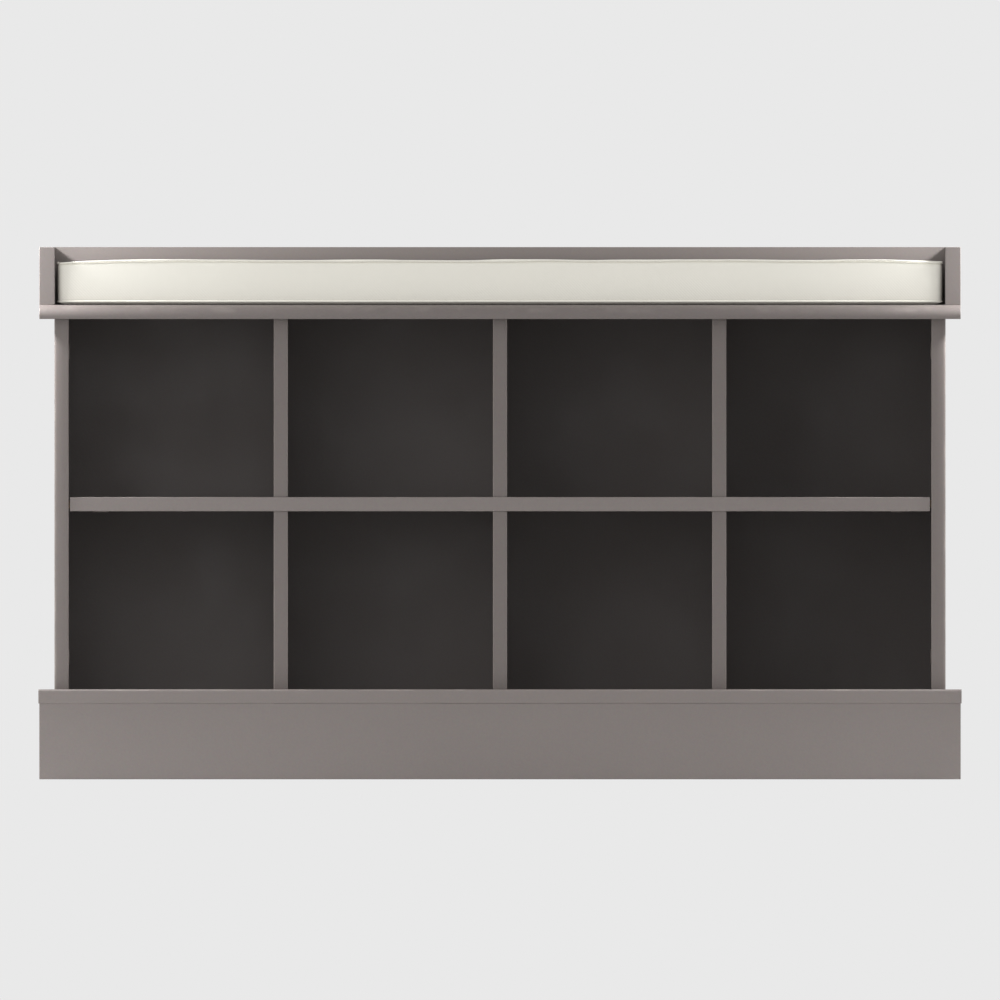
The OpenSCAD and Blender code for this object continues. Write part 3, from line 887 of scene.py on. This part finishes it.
zip_cloth = woven_tape("woven_polyester_tape", paint_chip("dcd7c8"))
tape_thickness = 0.0008
tape_half_gap = 0.0004
zip_middle = (zip_low + zip_high) / 2
tape_back = zip_low.y + tape_thickness
lower_tape = (zip_low.z, zip_middle.z - tape_half_gap)
upper_tape = (zip_middle.z + tape_half_gap, zip_high.z)
tapes = []
for bottom, top in (lower_tape, upper_tape):
    tape = block(
        "tape", Vector((zip_low.x, zip_low.y, bottom)), Vector((zip_high.x, tape_back, top))
    )
    for side in ("left", "right", "bottom", "top"):
        ease(tape, (side,), 0.0003, 2)
    tapes.append(tape)
print("tapes:", len(tapes))

# %% Coil
turn_spacing = 0.0020
turn_width = 0.0014
turn_corner = 0.0005
turn_sunk = 0.0002
coil_half = 0.0025
coil_overlap = 0.0012
coil_end = 0.010
turn_start = zip_low.x + coil_end
turns = int((zip_high.x - coil_end - turn_start) / turn_spacing)
rows = []
turn_back = zip_high.y - 0.0001
for offset, down, up in ((0.0, coil_half, coil_overlap), (turn_spacing / 2, coil_overlap, coil_half)):
    low = Vector((turn_start + offset, tape_back - turn_sunk, zip_middle.z - down))
    turn = block("turn", low, Vector((low.x + turn_width, turn_back, zip_middle.z + up)))
    bpy.ops.object.mode_set(mode="EDIT")
    bpy.ops.mesh.select_all(action="SELECT")
    bpy.ops.mesh.bevel(offset=turn_corner, segments=1, affect="EDGES", clamp_overlap=True)
    bpy.ops.object.mode_set(mode="OBJECT")
    bpy.ops.object.modifier_add(type="ARRAY")
    array = turn.modifiers[0]
    array.count = turns - (1 if offset else 0)
    array.use_relative_offset = False
    array.use_constant_offset = True
    array.constant_offset_displace = (turn_spacing, 0, 0)
    bpy.ops.object.modifier_apply(modifier=array.name)
    rows.append(turn)
bpy.ops.object.select_all(action="DESELECT")
for piece in tapes + rows:
    piece.select_set(True)
bpy.context.view_layer.objects.active = tapes[0]
bpy.ops.object.join()
zip_piece = bpy.context.object
zip_piece.name = "cushion_zip_tape_and_coil"
smooth(zip_piece)
hand_over(zip_piece, zip_cloth, "zip_tape", "cushion", "cushion_zip")
print("coil:", turns, "turns")

# %% [markdown]
# ## Slider
#
# The slider is die-cast and nickel-plated: a roof over the coil, two flanges that hold it on, and a
# low bridge on top. Its back starts as a slab, whose underside is cut into three strips; the outer
# two are pulled down as flanges, so the channel for the coil stays open between them.


# %% Plated metal
def plated_metal(name, colour, roughness, grain):
    """A metal surface with fine drawn or tumbled marks, and dulled patches a few millimetres wide."""
    material, place = new_finish(name)
    marks = add(material, "ShaderNodeTexNoise", {"Vector": place, "Scale": per(grain), "Detail": 4})
    dull = add(material, "ShaderNodeTexNoise", {"Vector": place, "Scale": per(5.56), "Detail": 3})
    dark = [0.80 * part for part in colour[:3]] + [1]
    tone = add(
        material, "ShaderNodeMix", {0: dull.outputs["Fac"], 6: colour, 7: dark}, data_type="RGBA"
    )
    rough = add(
        material, "ShaderNodeMapRange",
        {
            "Value": dull.outputs["Fac"], "From Min": 0.3, "From Max": 0.7,
            "To Min": roughness - 0.07, "To Max": roughness + 0.10,
        },
    )
    relief = add(
        material, "ShaderNodeBump",
        {"Height": marks.outputs["Fac"], "Strength": 0.4, "Distance": 0.00003},
    )
    shader = add(
        material, "ShaderNodeBsdfPrincipled",
        {
            "Base Color": tone.outputs[2], "Metallic": 1.0, "Roughness": rough.outputs[0],
            "Normal": relief.outputs[0],
        },
    )
    return close_finish(material, shader)


nickel = plated_metal("nickel_plated_die_casting", paint_chip("c9c6bf"), 0.28, grain=0.6)
bright_zinc = plated_metal("zinc_plated_steel", paint_chip("c3c7cc"), 0.34, grain=0.8)
raw_zinc = plated_metal("tumbled_zinc_die_casting", paint_chip("a9abad"), 0.46, grain=1.2)
print("metals:", nickel.name, bright_zinc.name, raw_zinc.name)

# %% Slider
slider_low, slider_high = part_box("zip_slider")
bridge_height = 0.0010
bridge_inset = 0.0016
roof_thickness = 0.0014
cast_radius = 0.00022
roof_low_y = slider_high.y - bridge_height - roof_thickness
channel_half = coil_half + 0.0004
roof = block(
    "zip_slider_with_bridge",
    Vector((slider_low.x, roof_low_y, slider_low.z)),
    Vector((slider_high.x, slider_high.y - bridge_height, slider_high.z)),
)
bpy.ops.object.mode_set(mode="EDIT")
for level in (zip_middle.z - channel_half, zip_middle.z + channel_half):
    bpy.ops.mesh.select_all(action="SELECT")
    bpy.ops.mesh.bisect(plane_co=(0, 0, level), plane_no=(0, 0, 1))
bpy.ops.mesh.select_mode(type="FACE")
bpy.ops.mesh.select_all(action="DESELECT")
bpy.ops.object.mode_set(mode="OBJECT")
for face in roof.data.polygons:
    face.select = face.normal.y < -0.9 and abs(face.center.z - zip_middle.z) > channel_half
bpy.ops.object.mode_set(mode="EDIT")
bpy.ops.mesh.extrude_region_move(TRANSFORM_OT_translate={"value": (0, slider_low.y - roof_low_y, 0)})
bpy.ops.mesh.select_all(action="DESELECT")
bpy.ops.object.mode_set(mode="OBJECT")
for face in roof.data.polygons:
    face.select = face.normal.y > 0.9 and abs(face.center.z - zip_middle.z) < channel_half
bpy.ops.object.mode_set(mode="EDIT")
bpy.ops.mesh.inset(thickness=bridge_inset)
bpy.ops.mesh.extrude_region_move(TRANSFORM_OT_translate={"value": (0, bridge_height, 0)})
bpy.ops.mesh.select_all(action="SELECT")
bpy.ops.mesh.bevel(offset=cast_radius, segments=2, affect="EDGES", clamp_overlap=True)
bpy.ops.object.mode_set(mode="OBJECT")
smooth(roof)
hand_over(roof, nickel, "zip_metal", "zip_slider", "zip_slider")
print("slider:", len(roof.data.polygons), "faces")

# %% [markdown]
# ## Fittings and hidden parts
#
# The CAD solids of the dowels, cams, bolts, screws, nails, brackets, caps and corner blocks already
# have their real shape, so they stay, and get the finish of what they are: turned beech, die-cast
# zinc, zinc-plated steel and moulded plastic.


# %% Beech and moulded plastic
def beech_wood(name, pale, dark):
    """Beech: fine even grain with the short brown flecks that mark it, stretched along the piece."""
    material, place = new_finish(name)
    along = add(
        material, "ShaderNodeMapping", {"Vector": place, "Scale": (per(2.38), per(2.38), per(16.7))}
    )
    grain = add(material, "ShaderNodeTexNoise", {"Vector": along.outputs[0], "Scale": 1, "Detail": 4})
    flecks = add(material, "ShaderNodeTexVoronoi", {"Vector": along.outputs[0], "Scale": 1.6})
    fleck = add(
        material, "ShaderNodeMapRange",
        {
            "Value": flecks.outputs["Distance"], "From Min": 0.0, "From Max": 0.35,
            "To Min": 0.5, "To Max": 0.0,
        },
    )
    base = add(
        material, "ShaderNodeMix", {0: grain.outputs["Fac"], 6: pale, 7: dark}, data_type="RGBA"
    )
    tone = add(
        material, "ShaderNodeMix", {0: fleck.outputs[0], 6: base.outputs[2], 7: dark}, data_type="RGBA"
    )
    relief = add(
        material, "ShaderNodeBump",
        {"Height": grain.outputs["Fac"], "Strength": 0.4, "Distance": 0.00008},
    )
    shader = add(
        material, "ShaderNodeBsdfPrincipled",
        {"Base Color": tone.outputs[2], "Roughness": 0.6, "Normal": relief.outputs[0]},
    )
    return close_finish(material, shader)


def moulded_plastic(name, colour):
    """Moulded polypropylene with a fine spark-eroded texture from its mould."""
    material, place = new_finish(name)
    eroded = add(material, "ShaderNodeTexNoise", {"Vector": place, "Scale": per(0.8), "Detail": 2})
    cloud = add(material, "ShaderNodeTexNoise", {"Vector": place, "Scale": per(11.1), "Detail": 2})
    dark = [0.9 * part for part in colour[:3]] + [1]
    tone = add(
        material, "ShaderNodeMix", {0: cloud.outputs["Fac"], 6: colour, 7: dark}, data_type="RGBA"
    )
    relief = add(
        material, "ShaderNodeBump",
        {"Height": eroded.outputs["Fac"], "Strength": 0.5, "Distance": 0.00004},
    )
    shader = add(
        material, "ShaderNodeBsdfPrincipled",
        {"Base Color": tone.outputs[2], "Roughness": 0.5, "IOR": 1.49, "Normal": relief.outputs[0]},
    )
    return close_finish(material, shader)


finishes = {
    "beech": beech_wood("turned_beech", paint_chip("dcc09a"), paint_chip("b98f63")),
    "zinc_cam": raw_zinc,
    "plated_steel": bright_zinc,
    "cap_plastic": moulded_plastic("moulded_polypropylene_cap", paint_chip("756c68")),
}
kept = 0
for node in cad_nodes.values():
    if node.hide_render:
        continue
    for slot in node.material_slots:
        slot.material = finishes[slot.material.name]
    kept += 1
print("CAD solids kept:", kept)
